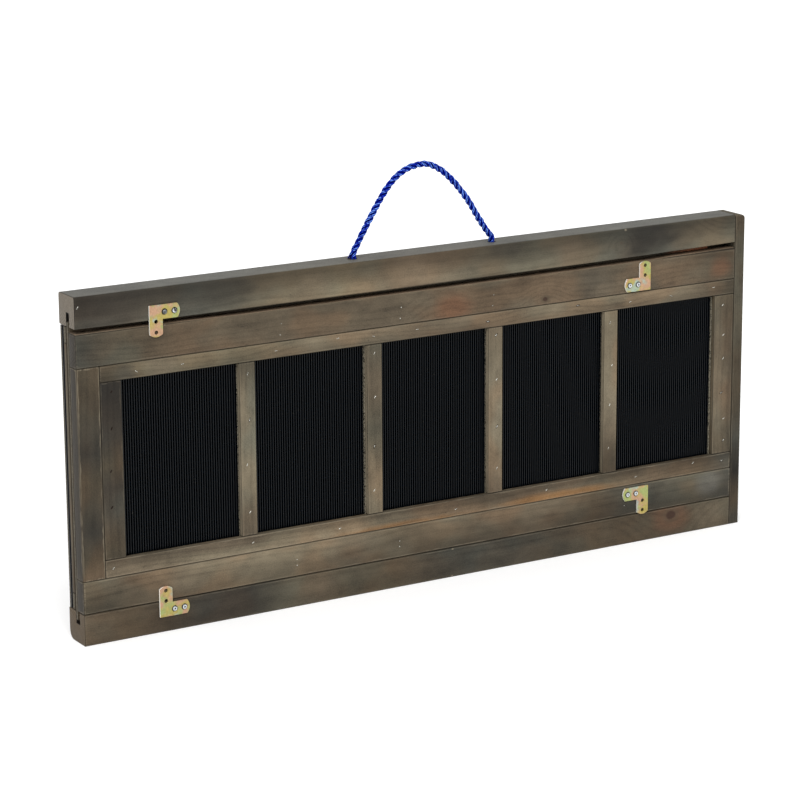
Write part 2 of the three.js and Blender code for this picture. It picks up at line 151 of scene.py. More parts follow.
class Value:
    """A number that a node gives. Arithmetic with it adds the nodes that work the result out."""

    def __init__(self, nodes, socket):
        self.nodes, self.socket = nodes, socket

    def __add__(self, other):
        return self.nodes.math("ADD", self, other)

    def __radd__(self, other):
        return self.nodes.math("ADD", other, self)

    def __sub__(self, other):
        return self.nodes.math("SUBTRACT", self, other)

    def __rsub__(self, other):
        return self.nodes.math("SUBTRACT", other, self)

    def __mul__(self, other):
        return self.nodes.math("MULTIPLY", self, other)

    def __truediv__(self, other):
        return self.nodes.math("DIVIDE", self, other)


class Nodes:
    """Builds one material. Each method adds a node and returns a Value, or a colour's socket."""

    def __init__(self, name):
        self.material = bpy.data.materials.new(name)
        self.material.use_nodes = True
        self.tree = self.material.node_tree
        self.tree.nodes.clear()

    def add(self, kind, inputs=(), **settings):
        """A new node. What feeds its inputs is listed in order, or by their numbers or names."""
        node = self.tree.nodes.new(kind)
        for key, value in settings.items():
            setattr(node, key, value)
        for key, value in inputs.items() if isinstance(inputs, dict) else enumerate(inputs):
            if isinstance(value, Value):
                value = value.socket
            if isinstance(value, bpy.types.NodeSocket):
                self.tree.links.new(value, node.inputs[key])
            else:
                node.inputs[key].default_value = value
        return node

    def number(self, kind, inputs, **settings):
        return Value(self, self.add(kind, inputs, **settings).outputs[0])

    def math(self, operation, a, b=0.0):
        return self.number("ShaderNodeMath", (a, b), operation=operation)

    def swing(self, pattern, amount):
        """A pattern about 0.5, as a change of up to half the amount either way."""
        return (pattern - 0.5) * amount

    def length(self, a, b):
        """The length of the two sides a and b."""
        return self.math("SQRT", a * a + b * b)

    def mix(self, factor, a, b, blend="MIX"):
        node = self.add("ShaderNodeMix", {0: factor, 6: a, 7: b}, data_type="RGBA", blend_type=blend)
        return node.outputs[2]

    def dim(self, colour, amount):
        """A colour times a number."""
        colour = colour[:3] if isinstance(colour, tuple) else colour
        return self.add("ShaderNodeVectorMath", {0: colour, 3: amount}, operation="SCALE").outputs[0]

    def ease(self, value, start, end, low=0.0, high=1.0):
        """low before start, high after end, and a smooth step between them."""
        inputs = (value, start, end, low, high)
        return self.number("ShaderNodeMapRange", inputs, interpolation_type="SMOOTHSTEP")

    def ramp(self, value, stops):
        """A colour ramp with stops of (place from 0 to 1, linear colour)."""
        node = self.add("ShaderNodeValToRGB", (value,))
        elements = node.color_ramp.elements
        elements.remove(elements[1])
        elements[0].position, elements[0].color = stops[0]
        for place, colour in stops[1:]:
            elements.new(place).color = colour
        return node.outputs[0]

    def noise(self, vector, detail=2.0, roughness=0.5, distortion=0.0):
        inputs = {"Vector": vector, "Scale": 1.0, "Detail": detail, "Roughness": roughness}
        return self.number("ShaderNodeTexNoise", {**inputs, "Distortion": distortion})

    def combine(self, *place):
        return self.add("ShaderNodeCombineXYZ", place).outputs[0]

    def separate(self, vector):
        return [Value(self, output) for output in self.add("ShaderNodeSeparateXYZ", (vector,)).outputs]

    def place(self):
        """The point's place in the ramp's own frame, in millimetres, as three numbers."""
        coordinates = self.add("ShaderNodeTexCoord")
        return self.separate(self.dim(coordinates.outputs["Object"], 1 / MM))

    def facing(self, axis):
        """How squarely the surface faces along an axis, from -1 to 1."""
        coordinates = self.add("ShaderNodeTexCoord")
        return self.separate(coordinates.outputs["Normal"])["XYZ".index(axis)]

    def facing_either(self, axis):
        return self.math("ABSOLUTE", self.facing(axis))

    def inside(self, value, low, high, soft=0.2):
        """1 between low and high, 0 outside them."""
        return self.ease(value, low - soft, low) * self.ease(value, high, high + soft, 1, 0)

    def speckle(self, place, size, seed=0.0, detail=2.0):
        """Even noise whose cells are size mm wide."""
        return self.noise(self.combine(*[p * (1 / size) + seed for p in place]), detail)

    def bump(self, height, depth_mm):
        inputs = {"Strength": 1.0, "Distance": depth_mm * MM, "Height": height}
        return self.add("ShaderNodeBump", inputs).outputs[0]

    def finish(self, colour, roughness, normal=None, **constants):
        """The surface itself; constants are set straight on the shader's sockets."""
        inputs = {"Base Color": colour, "Roughness": roughness}
        if normal is not None:
            inputs["Normal"] = normal
        inputs.update({socket.replace("_", " "): value for socket, value in constants.items()})
        shader = self.add("ShaderNodeBsdfPrincipled", inputs)
        self.add("ShaderNodeOutputMaterial", (shader.outputs[0],))
        return self.material


# ---- Wood ----
# The stain lies in soft clouds of these tones, by their display values in this light.
TONES = {
    "soot": (44, 41, 37), "dark": (62, 57, 50), "slate": (73, 70, 62), "umber": (81, 71, 57),
    "moss": (92, 85, 71), "brown": (99, 86, 70), "tan": (108, 94, 77), "olive": (108, 99, 81),
    "amber": (146, 108, 68), "wheat": (121, 108, 89), "pale": (133, 120, 100),
    "lichen": (124, 117, 100), "rust": (116, 82, 60), "raw": (190, 124, 90), "pine": (192, 164, 138),
    "bare": (164, 152, 130), "chalk": (126, 117, 105), "dust": (119, 118, 112), "knot": (60, 40, 32),
}
DISPLAY_GAMMA = 2.2
LIGHT = 1.4  # how much brighter than its albedo a surface facing the front looks


def tone(name):
    red, green, blue, alpha = linear(TONES[name])
    return (red / LIGHT, green / LIGHT, blue / LIGHT, alpha)


class Grain:
    """A board's own axes, in mm: u along the grain from the ramp's end, v across it, w through it."""

    def __init__(self, nodes, direction):
        self.nodes = nodes
        self.x, self.y, self.z = nodes.place()
        if direction == "X":
            self.u, self.v = self.x - LEFT / MM, self.z
        else:
            self.u, self.v = self.z, self.x
        self.w = self.y

    def noise(self, along, across, seed, *settings):
        """Noise whose cells are along mm long and across mm wide."""
        axes = ((self.u, along, 1.7), (self.v, across, 7.31), (self.w, across, 3.77))
        place = [value * (1 / size) + seed * shift for value, size, shift in axes]
        return self.nodes.noise(self.nodes.combine(*place), *settings)

    def distance_from(self, centre, stretch=1.33):
        """Distance in mm from a place (u, v) on the face, stretched along the grain."""
        return self.nodes.length((self.u - centre[0]) * (1 / stretch), self.v - centre[1])

    def edge_distance(self, box):
        """Distance in mm from a point on a board's surface to the nearest edge of its box."""
        math_node = self.nodes.math
        sides = zip((self.x, self.y, self.z), *box)
        a, b, c = [math_node("MINIMUM", at - low / MM, high / MM - at) for at, low, high in sides]
        nearer, farther = math_node("MINIMUM", a, b), math_node("MAXIMUM", a, b)
        return math_node("MAXIMUM", nearer, math_node("MINIMUM", farther, c))


def late_wood(nodes, grain, seed, pith, spacing, knots):
    """The dark line of each year ring, from 0 to 1. Knots push the rings aside."""
    wander = nodes.swing(grain.noise(230, 90, seed, 1), 38)
    across = grain.v - pith[0] + wander
    rings = nodes.length(across, grain.w - pith[1]) / spacing
    for place, radius, reach, moved, _, _ in knots:
        rings = rings + nodes.ease(grain.distance_from(place), radius, reach, 1, 0) * moved
    wave = nodes.math("SINE", rings * (2 * math.pi))
    return nodes.math("POWER", wave * 0.5 + 0.5, 3)


def across_axis(direction):
    return 2 if direction == "X" else 0


def stain(nodes, grain, direction, stops, box, across):
    """The stain's tones along the board, and its brightness from its low side to its high one."""
    length = RAMP_HIGH.x - LEFT if direction == "X" else RAIL_TOP
    share = grain.u * (MM / length)
    colour = nodes.ramp(share, [(place * MM / length, tone(name)) for place, name in stops.items()])
    axis = across_axis(direction)
    low, high = (brightness**DISPLAY_GAMMA for brightness in across)
    return nodes.dim(colour, nodes.ease(grain.v, box[0][axis] / MM, box[1][axis] / MM, low, high))


def add_knot(nodes, grain, colour, knot, raggedness):
    place, radius, _, _, halo_amount, core_amount = knot
    distance = grain.distance_from(place) + raggedness * 4
    halo = nodes.ease(distance, radius * 1.1, radius * 2.6, halo_amount, 0)
    colour = nodes.mix(halo, colour, tone("umber"))
    core = nodes.ease(distance, radius * 0.9, radius * 1.35, core_amount, 0)
    return nodes.mix(core, colour, tone("knot"))


def wood(
    name, box, direction, stops, seed, across=(1, 1), pith=(30, 60), spacing=3.4, knots=(), patches=(),
    chips=(), end="moss", up=("moss", 0), left=("moss", 0), hollow=None, cloudiness=1.0, wear=0.5, ply=0,
):
    """Stained pine: clouds of stain over year rings and fibres, pale along the edges from use and
    from a painted highlight, and darkened right at the edges with painted shade.

    stops are {mm along the grain: tone}. pith is the tree's middle, in mm from the board's middle
    and behind the timber's front. knots, patches of another tone and chips are places on the
    face. A knot is (place, radius, reach, rings it moves, darkness of its halo and of its core),
    a patch is (place, (long, wide), tone, amount) and a chip is (along, across, radius). up and
    left are the (tone, amount) of the faces that look that way; on some boards they paint the
    light or shade on those faces. hollow is a groove's (front, back, low, high), whose inside is
    painted nearly black: painted shade, with some dirt. ply is the thickness of plywood's layers,
    which show on its edges.
    """
    nodes = Nodes(name)
    grain = Grain(nodes, direction)
    axis = across_axis(direction)
    middle = (box[0][axis] + box[1][axis]) / 2 / MM
    pith_place = (middle + pith[0], TIMBER_FRONT / MM + pith[1])
    late = late_wood(nodes, grain, seed, pith_place, spacing, knots)
    fibres = grain.noise(46, 1.3, seed + 1, 3, 0.6)
    streaks = grain.noise(120, 5, seed + 2)
    clouds = grain.noise(52, 30, seed + 3, 3, 0.5, 0.4)
    small_clouds = grain.noise(15, 11, seed + 4)
    hue = grain.noise(64, 40, seed + 5, 1)
    pores = nodes.ease(grain.noise(4.5, 0.55, seed + 6, 1), 0.66, 0.74)
    specks = grain.noise(1.7, 1.2, seed + 7, 2, 0.7)

    colour = stain(nodes, grain, direction, stops, box, across)
    cool = nodes.mix(1.0, colour, (0.95, 1.0, 1.0, 1), "MULTIPLY")
    warm = nodes.mix(1.0, colour, (1.06, 0.99, 0.92, 1), "MULTIPLY")
    colour = nodes.mix(nodes.ease(hue, 0.38, 0.62), cool, warm)
    for place, (long, wide), tone_name, amount in patches:
        distance = grain.distance_from(place, long / wide) + nodes.swing(clouds, wide)
        patch = nodes.ease(distance, wide * 0.3, wide * 1.1, amount, 0)
        colour = nodes.mix(patch, colour, tone(tone_name))
    brightness = nodes.swing(clouds, 1.1 * cloudiness) + 1
    swings = ((small_clouds, 0.4 * cloudiness), (streaks, 0.16), (fibres, 0.3), (specks, 0.8))
    for pattern, amount in swings:
        brightness = nodes.swing(pattern, amount) + brightness
    brightness = brightness - late * 0.13 - pores * 0.25
    colour = nodes.dim(colour, brightness)
    for axis_name, sign, (tone_name, amount) in (("Z", 1, up), ("X", -1, left)):
        if amount:
            squarely = nodes.ease(nodes.facing(axis_name) * sign, 0.85, 0.99, 0, amount)
            colour = nodes.mix(squarely, colour, nodes.dim(tone(tone_name), brightness))

    end_light = 1.08 - late * 0.34 + nodes.swing(fibres, 1)
    ends = nodes.ease(nodes.facing_either(direction), 0.75, 0.97)
    colour = nodes.mix(ends, colour, nodes.dim(tone(end), end_light))
    if ply:
        layers = nodes.math("SINE", grain.w * (math.pi / ply))
        edges = nodes.ease(nodes.facing_either("Y"), 0.3, 0.6, 1, 0)
        layered = 0.85 + layers * 0.3
        colour = nodes.mix(edges, colour, nodes.dim(colour, layered))
    for knot in knots:
        colour = add_knot(nodes, grain, colour, knot, small_clouds)

    from_edge = grain.edge_distance(box)
    ragged_edge = from_edge + nodes.swing(small_clouds, 5)
    # Pale edges: partly from use, partly a painted highlight on the arrises.
    used_and_lit_edge = nodes.ease(ragged_edge, 0.9, 2.4, 0.6 * wear, 0) * nodes.ease(fibres, 0.3, 0.62)
    depth = grain.w - TIMBER_FRONT / MM
    for chip in chips:
        distance = grain.distance_from(chip[:2]) + fibres * 2 + depth
        used_and_lit_edge = nodes.math("MAXIMUM", used_and_lit_edge, nodes.ease(distance, chip[2], chip[2] + 1.2, 0.9, 0))
    colour = nodes.mix(used_and_lit_edge, colour, nodes.mix(0.45, tone("bare"), colour))
    # Painted shade: within a millimetre of the board's edges, where it meets its neighbours, the colour
    # darkens to a third.
    colour = nodes.dim(colour, nodes.ease(from_edge, 0.2, 1.0, 0.32, 1))
    # Painted shade: the inside of a groove is darkened nearly to black, as shade with some dirt.
    if hollow:
        front, back, low, high = hollow
        groove_shade_and_dirt = nodes.inside(depth, front, back) * nodes.inside(grain.v, low, high)
        colour = nodes.dim(colour, 1 - groove_shade_and_dirt * 0.93)

    relief = late * 0.5 + fibres * 1.2 - pores * 0.8
    roughness = clouds * 0.25 + 0.5 + used_and_lit_edge * 0.1
    return nodes.finish(colour, roughness, nodes.bump(relief, 0.12), Specular_IOR_Level=0.15)


# ---- Rubber, metal and rope ----
def rubber(name, slat_lefts):
    """Black ribbed rubber, with dust lying in it beside the left edge of each slat."""
    nodes = Nodes(name)
    place = nodes.place()
    cloud = nodes.speckle(place, 38)
    fine = nodes.speckle(place, 1.6, 5)
    dust = nodes.ease(nodes.speckle(place, 2.5, 12), 0.7, 0.8) * 0.09
    for left in slat_lefts:
        before = left / MM - place[0]
        beside = nodes.inside(before, -1, 0.3, 0.3)
        dust = nodes.math("MAXIMUM", dust, beside * nodes.ease(fine, 0.36, 0.52))
    colour = nodes.mix(dust * 0.95, linear((0, 3, 7)), linear((140, 133, 116)))
    roughness = cloud * 0.12 + 0.22
    return nodes.finish(colour, roughness, nodes.bump(fine, 0.02), Specular_IOR_Level=0.25)


def from_axes(nodes, place, axes):
    """Distance in mm to the nearest of some axes (x, z) along Y."""
    nearest = None
    for x, z in axes:
        distance = nodes.length(place[0] - x / MM, place[2] - z / MM)
        nearest = distance if nearest is None else nodes.math("MINIMUM", nearest, distance)
    return nearest


ZINC_TONES = [(174, 158, 86), (186, 148, 118), (158, 166, 102), (160, 176, 160)]


def yellow_zinc(name, screws, holes):
    """Passivated zinc: gold clouded with pink, green and grey-blue, with painted shade round its screws
    and a painted highlight on its left-facing edges.
    """
    nodes = Nodes(name)
    place = nodes.place()
    colour, pink, green, blue = map(linear, ZINC_TONES)
    colour = nodes.mix(nodes.ease(nodes.speckle(place, 17, 2), 0.42, 0.6), colour, pink)
    colour = nodes.mix(nodes.ease(nodes.speckle(place, 14, 9), 0.5, 0.66), colour, green)
    colour = nodes.mix(nodes.ease(nodes.speckle(place, 16, 17), 0.58, 0.72), colour, blue)
    grime = nodes.speckle(place, 2.2, 4)
    colour = nodes.dim(colour, nodes.swing(grime, 0.5) + 0.9)
    # Painted shade: the plate darkens round each screw head.
    ragged = from_axes(nodes, place, screws) + nodes.swing(grime, 1.6)
    colour = nodes.dim(colour, nodes.ease(ragged, 3.3, 4.0, 0.2, 1))
    outline = nodes.ease(from_axes(nodes, place, holes), 2.8, 3.3)
    # Painted highlight: faces that look left, away from the empty holes, are painted near white.
    left_edge_highlight = nodes.ease(nodes.facing("X") * -1, 0.1, 0.5) * outline
    colour = nodes.mix(left_edge_highlight, colour, linear((255, 253, 244)))
    roughness = grime * 0.25 + 0.24
    return nodes.finish(colour, roughness, nodes.bump(grime, 0.04), Metallic=0.5)


def bright_metal(name, cell, dull, bright, screws=(), tarnish=0):
    """Metal mottled in cells of cell mm. Pan heads are tarnished too, and painted shade darkens their rims
    and recesses.
    """
    nodes = Nodes(name)
    place = nodes.place()
    grime = nodes.speckle(place, cell, 6, 3)
    colour = nodes.mix(nodes.ease(grime, 0.35, 0.6), linear(dull), linear(bright))
    if screws:
        blotch = nodes.ease(nodes.speckle(place, 2.6, 21), 0.62 - tarnish, 0.7 - tarnish)
        colour = nodes.mix(blotch * 0.85, colour, linear((52, 48, 42)))
        # Painted shade: each head darkens in its recess and at its rim.
        distance = from_axes(nodes, place, screws) + nodes.swing(grime, 0.8)
        lit = nodes.ease(distance, 0.5, 1.1, 0.16, 1) * nodes.ease(distance, 2.2, 2.9, 1, 0.12)
        colour = nodes.dim(colour, lit)
    return nodes.finish(colour, grime * 0.3 + 0.16, nodes.bump(grime, 0.03), Metallic=1.0)


def dent_shade_wood():
    """The dark bottom of a dent that a staple was driven into: painted shade of the dent, and its darker
    stain.
    """
    nodes = Nodes("dent_shade_wood")
    fine = nodes.speckle(nodes.place(), 0.6)
    colour = nodes.mix(fine, tone("knot"), tone("soot"))
    return nodes.finish(nodes.dim(colour, 0.5), 0.9, nodes.bump(fine, 0.1), Specular_IOR_Level=0.1)


def blue_rope():
    """Blue filament; the crest attribute is 0 in the grooves of the rope and 1 on its yarns' tops.
    The colour darkens towards the grooves as painted shade and turns light blue on the tops as painted
    highlight.
    """
    nodes = Nodes("blue_rope")
    crest = nodes.add("ShaderNodeAttribute", attribute_name="crest").outputs["Fac"]
    place = nodes.place()
    fine = nodes.speckle(place, 0.7, 3)
    patches = nodes.speckle(place, 3.2, 8)
    # Painted shade: darker towards the grooves.
    colour = nodes.mix(nodes.ease(crest, 0.25, 0.8), linear((0, 0, 60)), linear((0, 26, 156)))
    # Painted highlight: light blue on the yarns' tops.
    yarn_highlight = nodes.ease(crest, 0.77, 0.93) * nodes.ease(patches, 0.4, 0.54)
    colour = nodes.mix(yarn_highlight, colour, linear((128, 176, 255)))
    colour = nodes.dim(colour, nodes.swing(fine, 0.7) + 1)
    roughness = fine * 0.2 + 0.3
    return nodes.finish(colour, roughness, nodes.bump(fine, 0.06), Specular_IOR_Level=0.03)


# ---- Round shapes: tubes along a path, and turned profiles ----
YARN_GROOVE = 0.16  # how deep the groove between two yarns is, as a share of the tube's radius


def closed_skin(rings, start, end):
    """Points and faces of a solid: rings of points joined in turn, and a point to close each end."""
    sides = len(rings[0])
    points = [point for ring in rings for point in ring] + [start, end]
    first, last, base = len(points) - 2, len(points) - 1, len(points) - 2 - sides
    pairs = [(k, (k + 1) % sides) for k in range(sides)]
    faces = [(i + a, i + b, i + b + sides, i + a + sides) for i in range(0, base, sides) for a, b in pairs]
    for a, b in pairs:
        faces += [(first, b, a), (last, base + a, base + b)]
    return points, faces


def tube(path, radius, sides=8, up=None, lobes=0, lay=1.0):
    """Points, faces and groove depths of a closed tube; with lobes it is laid up like a rope."""
    path = [Vector(p) for p in path]
    rings, grooves = [], []
    across = Vector(up) if up else (path[1] - path[0]).orthogonal().normalized()
    travelled = 0.0
    for i, centre in enumerate(path):
        before = path[max(i - 1, 0)]
        ahead = (path[min(i + 1, len(path) - 1)] - before).normalized()
        across = (across - ahead * across.dot(ahead)).normalized()
        other = ahead.cross(across)
        travelled += (centre - before).length
        ring = []
        for k in range(sides):
            angle = 2 * math.pi * k / sides
            lobe = abs(math.cos(lobes / 2 * (angle - 2 * math.pi * travelled / lay))) if lobes else 1.0
            reach = radius * (1 - YARN_GROOVE + YARN_GROOVE * lobe)
            ring.append(centre + (across * math.cos(angle) + other * math.sin(angle)) * reach)
            grooves.append(lobe)
        rings.append(ring)
    return *closed_skin(rings, path[0], path[-1]), [*grooves, 0.5, 0.5]


def tubes_piece(name, tubes):
    """One piece of several tubes, with the depth of their grooves as the crest attribute."""
    points, faces, grooves = [], [], []
    for tube_points, tube_faces, tube_grooves in tubes:
        start = len(points)
        points += tube_points
        grooves += tube_grooves
        faces += [tuple(i + start for i in face) for face in tube_faces]
    mesh = mesh_from(name, points, faces)
    mesh.attributes.new("crest", "FLOAT", "POINT").data.foreach_set("value", grooves)
    smooth(mesh, 60)
    return new_piece(name, mesh)


def turned(profile, steps=40):
    """Points and faces of a solid turned about Z; the profile runs from axis to axis, going up."""
    turns = [2 * math.pi * k / steps for k in range(steps)]
    rings = [
        [Vector((radius * math.cos(turn), radius * math.sin(turn), height)) for turn in turns]
        for radius, height in profile[1:-1]
    ]
    return closed_skin(rings, Vector((0, 0, profile[0][1])), Vector((0, 0, profile[-1][1])))


# ---- Rope handle: a three-strand rope through two holes in the top rail, knotted under it ----
# Its strands touch within the core's radius of its middle.
ROPE = {"diameter": 0.007, "strand": 0.0019, "strand_centre": 0.00205, "core": 0.0018, "lay": 0.0252}
STRAND = {"sides": 32, "yarns": 6, "yarn_lay": 0.024, "uneven": 0.3, "uneven_over": 0.008}
# Above the rail the rope opens out by these shares of its width, most at a height.
BULGE = {"left": 0.36, "right": 0.16, "scale": 0.0045, "height": 0.55, "sharpness": 3}
KNOT = {"above": 0.0065, "size": 0.00135, "deep": 0.0034, "strand": 0.0029, "lay": 0.02, "steps": 90}
HOLE_X = 0.0952
ROPE_START = -0.0165  # below the rail's top, inside the knot

# The arch's centreline: (x, height above the rail), from the left hole to the right one.
ARCH = [
    (-0.0942, 0.007), (-0.0916, 0.012), (-0.0874, 0.019), (-0.0822, 0.0275), (-0.0752, 0.039),
    (-0.0677, 0.051), (-0.0597, 0.0635), (-0.0506, 0.0755), (-0.0408, 0.086), (-0.0292, 0.0945),
    (-0.0168, 0.0996), (-0.005, 0.1014), (0.0058, 0.101), (0.0168, 0.097), (0.0278, 0.09),
    (0.0394, 0.0795), (0.0507, 0.0672), (0.0608, 0.0545), (0.0702, 0.0406), (0.0784, 0.0278),
    (0.0844, 0.019), (0.0898, 0.012), (0.0938, 0.007),
]


def rope_route():
    left = [(-HOLE_X, ROPE_START), (-HOLE_X, ROPE_START / 2), (-HOLE_X, 0)]
    right = [(HOLE_X, height) for _, height in reversed(left)]
    return [Vector((x, ROPE_Y, RAIL_TOP + height)) for x, height in left + ARCH + right]


def spline(points, step):
    """Points about a step apart on a smooth curve through the given ones."""
    line = []
    for i in range(len(points) - 1):
        a, b = points[i], points[i + 1]
        before, after = points[max(i - 1, 0)], points[min(i + 2, len(points) - 1)]
        count = max(1, round((b - a).length / step))
        for k in range(count):
            t = k / count
            slope_a, slope_b = (b - before) / 2, (after - a) / 2
            leaving = a * (1 + 2 * t) * (1 - t) ** 2 + slope_a * t * (1 - t) ** 2
            line.append(leaving + b * t * t * (3 - 2 * t) + slope_b * t * t * (t - 1))
    return line + [points[-1].copy()]


def bulge(point):
    """How much the rope opens out just above the rail: more at the left hole than at the right."""
    height = (point.z - RAIL_TOP) / BULGE["scale"]
    most = BULGE["left"] if point.x < 0 else BULGE["right"]
    return 1 + most * math.exp(-((height - BULGE["height"]) ** 2) * BULGE["sharpness"])


def strand(line, number):
    """One strand's own path round the rope's centreline."""
    path, travelled = [], 0.0
    sideways = Vector((0, 1, 0))
    for i, centre in enumerate(line):
        before = line[max(i - 1, 0)]
        ahead = (line[min(i + 1, len(line) - 1)] - before).normalized()
        other = ahead.cross(sideways)
        travelled += (centre - before).length
        angle = 2 * math.pi * (travelled / ROPE["lay"] + number / 3)
        out = sideways * math.cos(angle) + other * math.sin(angle)
        place = centre / STRAND["uneven_over"] + Vector((0, 0, 5 * number))
        uneven = 1 + STRAND["uneven"] * noise.noise(place)
        path.append(centre + out * ROPE["strand_centre"] * bulge(centre) * uneven)
    return path


def make_knot(name, node, material):
    """A stop knot: a trefoil of the same rope, drawn tight."""
    low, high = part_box(node)
    centre = Vector(((low.x + high.x) / 2, ROPE_Y, low.z + KNOT["above"]))
    path = []
    for k in range(KNOT["steps"]):
        t = 2 * math.pi * k / KNOT["steps"]
        x = KNOT["size"] * (math.sin(t) + 2 * math.sin(2 * t))
        y = KNOT["size"] * (math.cos(t) - 2 * math.cos(2 * t))
        path.append(centre + Vector((x, y, -KNOT["deep"] * math.sin(3 * t))))
    knot = tubes_piece(name, [tube(path, KNOT["strand"], 18, lobes=3, lay=KNOT["lay"])])
    return dress(knot, "frame", "blue_rope", material, node)


def make_fray(material):
    """Loose filaments round the foot of the rope at the left hole."""
    chance = random.Random(11)
    foot = Vector((-HOLE_X, ROPE_Y, RAIL_TOP))
    tubes = []
    for k in range(12):
        angle = math.pi * (0.62 + 1.0 * k / 11) + chance.uniform(-0.1, 0.1)
        out = Vector((math.cos(angle), math.sin(angle), 0))
        reach, drop = chance.uniform(0.005, 0.0068), chance.uniform(0.0004, 0.0014)
        outline = [(0.0032, 0.0048), (0.0044, 0.0034), (reach - 0.001, 0.0018), (reach, drop)]
        path = [foot + out * away + Vector((0, 0, height)) for away, height in outline]
        tubes.append(tube(spline(path, 0.0006), 0.0005, 6))
    tubes = [(points, faces, [chance.uniform(0.1, 0.8)] * len(points)) for points, faces, _ in tubes]
    return dress(tubes_piece("rope_fray", tubes), "frame", "blue_rope", material)


def laid_strand(line, number):
    """One strand as a tube; its groove depths are deeper where it lies against the others."""
    sides, yarns, yarn_lay = STRAND["sides"], STRAND["yarns"], STRAND["yarn_lay"]
    path = strand(line, number)
    points, faces, lobes = tube(path, ROPE["strand"], sides, up=(0, 1, 0), lobes=yarns, lay=yarn_lay)
    near, far = ROPE["core"], ROPE["strand_centre"] + 0.85 * ROPE["strand"]
    for i in range(len(line) * sides):
        out = (points[i] - line[i // sides]).length
        lobes[i] *= min(1, max(0, (out - near) / (far - near)))
    return points, faces, lobes


def make_rope():
    material = blue_rope()
    knots = [make_knot(f"rope_knot_{side}", f"rope_end_{side}", material) for side in ("left", "right")]
    fray = make_fray(material)
    line = spline(rope_route(), 0.001)
    rope = tubes_piece("rope", [laid_strand(line, k) for k in range(3)])
    rope.data.materials.append(material)
    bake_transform(rope)
    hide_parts("rope_handle")
    length = sum((b - a).length for a, b in zip(line, line[1:]))


# ---- Boards: each CAD board with its arrises eased, and with the slight waver of worn timber ----
WAVER = {"amount": 0.1 * MM, "step": 9 * MM}
noise.seed_set(1)  # unseeded, noise_vector would waver every board anew in each run


def bow_edge(mesh, bow, lower):
    """Lifts a level board's lower or upper edge; bow is a list of (mm from the ramp's end, mm up)."""
    heights = [vert.co.z for vert in mesh.vertices]
    edge = min(heights) if lower else max(heights)
    for vert in mesh.vertices:
        if abs(vert.co.z - edge) > 3 * MM:
            continue
        along = (vert.co.x - LEFT) / MM
        for (start, low), (end, high) in zip(bow, bow[1:]):
            if start <= along <= end:
                share = (along - start) / (end - start)
                vert.co.z += (low + (high - low) * share * share * (3 - 2 * share)) * MM
                break


def add_waver(mesh, axis):
    """Cuts a board across its grain at every step and moves the cuts a little off true."""
    shape = bmesh.new()
    shape.from_mesh(mesh)
    low = min(v.co[axis] for v in shape.verts)
    high = max(v.co[axis] for v in shape.verts)
    normal = Vector((0, 0, 0))
    normal[axis] = 1
    for k in range(1, int((high - low) / WAVER["step"])):
        place = Vector((0, 0, 0))
        place[axis] = low + k * WAVER["step"]
        everything = shape.verts[:] + shape.edges[:] + shape.faces[:]
        bmesh.ops.bisect_plane(shape, geom=everything, dist=0.01 * MM, plane_co=place, plane_no=normal)
    for vert in shape.verts:
        shift = noise.noise_vector(vert.co / 0.03) * 0.7 + noise.noise_vector(vert.co / 0.011) * 0.3
        shift[axis] = 0
        vert.co += shift * WAVER["amount"]
    shape.to_mesh(mesh)
    shape.free()


def body_of(node):
    """The body that a board, mat, plate or screw belongs to, by its name."""
    return "panel" if node.startswith("panel") else "frame"


def make_board(node, slot, direction="X", rounding=0.7, bow=(), bow_lower=True, **look):
    piece = eased_copy(node, f"{node}_wood", rounding, 2, 40)
    add_waver(piece.data, "XYZ".index(direction))
    if bow:
        bow_edge(piece.data, bow, bow_lower)
    smooth(piece.data)
    material = wood(f"{node}_wood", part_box(node), direction, **look)
    return dress(piece, body_of(node), slot, material, node)


def make_frame_timber():
    # The top face takes the dust tone: dust, and a painted sheen of the light on that face.
    make_board(
        "top_rail", "rail_wood", seed=1, across=(1.24, 0.8), pith=(6, 48), end="chalk", up=("dust", 0.8),
        # The inside of its groove is painted dark: painted shade, with some dirt.
        hollow=(14, 21.8, 361, 380), wear=0.1, cloudiness=0.75, chips=[(733, 399, 2.4)],
        stops={
            15: "dark", 90: "slate", 150: "slate", 230: "moss", 330: "olive", 430: "tan", 550: "moss",
            660: "moss", 740: "slate", 790: "slate", 850: "moss",
        },
        knots=[((893, 424), 14, 60, 5, 0, 0), ((727, 383), 2, 20, 2, 0.5, 0.8)],
        patches=[
            ((765, 393), (45, 34), "soot", 0.7), ((560, 398), (29, 22), "dark", 0.45),
            ((180, 396), (53, 40), "dark", 0.45), ((60, 392), (53, 40), "dark", 0.5),
            ((300, 372), (35, 26), "wheat", 0.5), ((430, 374), (40, 30), "wheat", 0.5),
            ((650, 376), (32, 24), "tan", 0.5),
        ],
        bow=[
            (-5, 0.9), (60, 0.4), (170, -0.3), (450, -0.75),
            (640, -0.3), (760, 0.6), (810, 1.4), (920, 2.8),
        ],
    )
    make_board(
        # The inside of its groove is painted dark: painted shade, with some dirt.
        "bottom_rail", "rail_wood", seed=2, pith=(-8, 52), end="brown", hollow=(12.4, 21.8, 22, 38),
        chips=[(485, 35.5, 1.5), (484, 1.5, 1.5)],
        stops={
            10: "brown", 60: "umber", 150: "dark", 210: "dark", 270: "moss", 400: "umber",
            480: "slate", 560: "slate", 700: "umber", 790: "umber", 850: "moss",
        },
        knots=[((807, 27), 6.5, 70, 3.5, 0.5, 0.8)],
        patches=[
            ((807, 25), (35, 26), "rust", 0.6), ((868, 18), (29, 22), "wheat", 0.4),
            ((300, 20), (35, 26), "tan", 0.4),
        ],
    )
    make_board(
        "end_stile", "rail_wood", "Z", seed=3, across=(0.95, 0.93), pith=(-40, 20),
        stops={
            10: "slate", 30: "umber", 70: "soot", 110: "slate", 150: "umber", 200: "umber",
            270: "moss", 350: "moss", 390: "umber",
        },
    )


